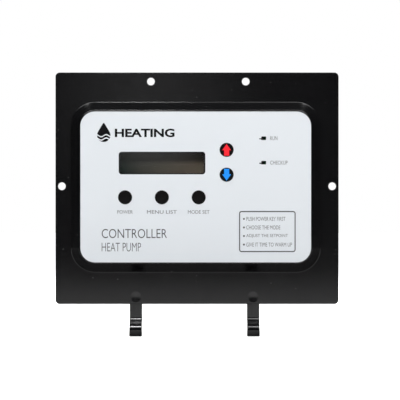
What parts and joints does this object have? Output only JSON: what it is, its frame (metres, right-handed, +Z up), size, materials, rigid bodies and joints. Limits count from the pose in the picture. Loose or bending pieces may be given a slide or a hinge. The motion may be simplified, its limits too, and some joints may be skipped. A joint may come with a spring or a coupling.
{
  "type": "heat pump control panel",
  "caption": "Rectangular control panel with a raised printed face, display window, round push keys, screw holes and S-shaped hooks below.",
  "frame": {"origin": "centre of the flange's rear face, in the cabinet's cut-out", "axes": "+X to the panel's right as seen from the front, +Z up, +Y into the cabinet"},
  "size_m": [0.22, 0.0417, 0.2046],
  "materials": {
    "bezel_plastic": "glossy injection-moulded black",
    "printed_overlay": "fine satin texture, printed",
    "clear_window": "polished clear acrylic",
    "key_plastic": "satin black",
    "red_arrow_key": "satin black with a printed red arrow",
    "blue_arrow_key": "satin black with a printed blue arrow",
    "stamped_steel": "black stamped sheet",
    "display_glass": "dark display glass",
    "light_guide": "milky light guide",
    "circuit_board": "green solder mask",
    "black_plastic": "black moulded plastic",
    "switch_case": "black case",
    "screw_steel": "zinc plated",
    "led_epoxy": "clear epoxy",
    "relay_case": "blue moulded case",
    "capacitor_sleeve": "shrunk dark sleeve",
    "chip_epoxy": "black epoxy",
    "sink_aluminium": "black anodised",
    "fuse_glass": "clear glass tube",
    "fuse_metal": "nickel plated",
    "terminal_plastic": "green moulded plastic",
    "white_nylon": "natural nylon",
    "trimmer_case": "blue moulded case"
  },
  "bodies": {
    "panel": {"bezel": "bezel_plastic", "board_screw_1": "screw_steel", "board_screw_2": "screw_steel", "board_screw_3": "screw_steel", "board_screw_4": "screw_steel", "capacitor_1": "capacitor_sleeve", "capacitor_2": "capacitor_sleeve", "control_board": "circuit_board", "display_window": "clear_window", "fuse_cap_1": "fuse_metal", "fuse_cap_2": "fuse_metal", "fuse_clip_1": "fuse_metal", "fuse_clip_2": "fuse_metal", "fuse_tube": "fuse_glass", "graphic_overlay": "printed_overlay", "heat_sink": "sink_aluminium", "indicator_window_on": "clear_window", "indicator_window_service": "clear_window", "lcd_backlight": "light_guide", "lcd_board": "circuit_board", "lcd_frame": "stamped_steel", "lcd_glass": "display_glass", "lcd_header": "black_plastic", "lcd_screw_1": "screw_steel", "lcd_screw_2": "screw_steel", "lcd_screw_3": "screw_steel", "lcd_screw_4": "screw_steel", "led_on": "led_epoxy", "led_service": "led_epoxy", "led_spacer_on": "black_plastic", "led_spacer_service": "black_plastic", "microcontroller": "chip_epoxy", "regulator": "chip_epoxy", "relay_1": "relay_case", "relay_2": "relay_case", "relay_3": "relay_case", "sensor_connector": "white_nylon", "switch_down": "switch_case", "switch_menu": "switch_case", "switch_mode": "switch_case", "switch_power": "switch_case", "switch_up": "switch_case", "terminal_block": "terminal_plastic", "terminal_screw_1": "screw_steel", "terminal_screw_2": "screw_steel", "terminal_screw_3": "screw_steel", "terminal_screw_4": "screw_steel", "trimmer_body": "trimmer_case"},
    "power_key": {"key_power": "key_plastic", "switch_stem_power": "black_plastic"},
    "menu_key": {"key_menu": "key_plastic", "switch_stem_menu": "black_plastic"},
    "mode_key": {"key_mode": "key_plastic", "switch_stem_mode": "black_plastic"},
    "up_key": {"key_up": "red_arrow_key", "switch_stem_up": "black_plastic"},
    "down_key": {"key_down": "blue_arrow_key", "switch_stem_down": "black_plastic"},
    "contrast_rotor": {"trimmer_rotor": "white_nylon"}
  },
  "joints": [
    {"name": "power_press", "type": "slide", "parent": "panel", "child": "power_key", "axis": [0, 1, 0], "range_m": [0, 0.0008], "stiffness_N_per_m": 2000},
    {"name": "menu_press", "type": "slide", "parent": "panel", "child": "menu_key", "axis": [0, 1, 0], "range_m": [0, 0.0008], "stiffness_N_per_m": 2000},
    {"name": "mode_press", "type": "slide", "parent": "panel", "child": "mode_key", "axis": [0, 1, 0], "range_m": [0, 0.0008], "stiffness_N_per_m": 2000},
    {"name": "up_press", "type": "slide", "parent": "panel", "child": "up_key", "axis": [0, 1, 0], "range_m": [0, 0.0008], "stiffness_N_per_m": 2000},
    {"name": "down_press", "type": "slide", "parent": "panel", "child": "down_key", "axis": [0, 1, 0], "range_m": [0, 0.0008], "stiffness_N_per_m": 2000},
    {"name": "contrast_turn", "type": "hinge", "parent": "panel", "child": "contrast_rotor", "pos_m": [0.057, 0.0148, -0.007], "axis": [0, 1, 0], "range_deg": [-135, 135]}
  ]
}
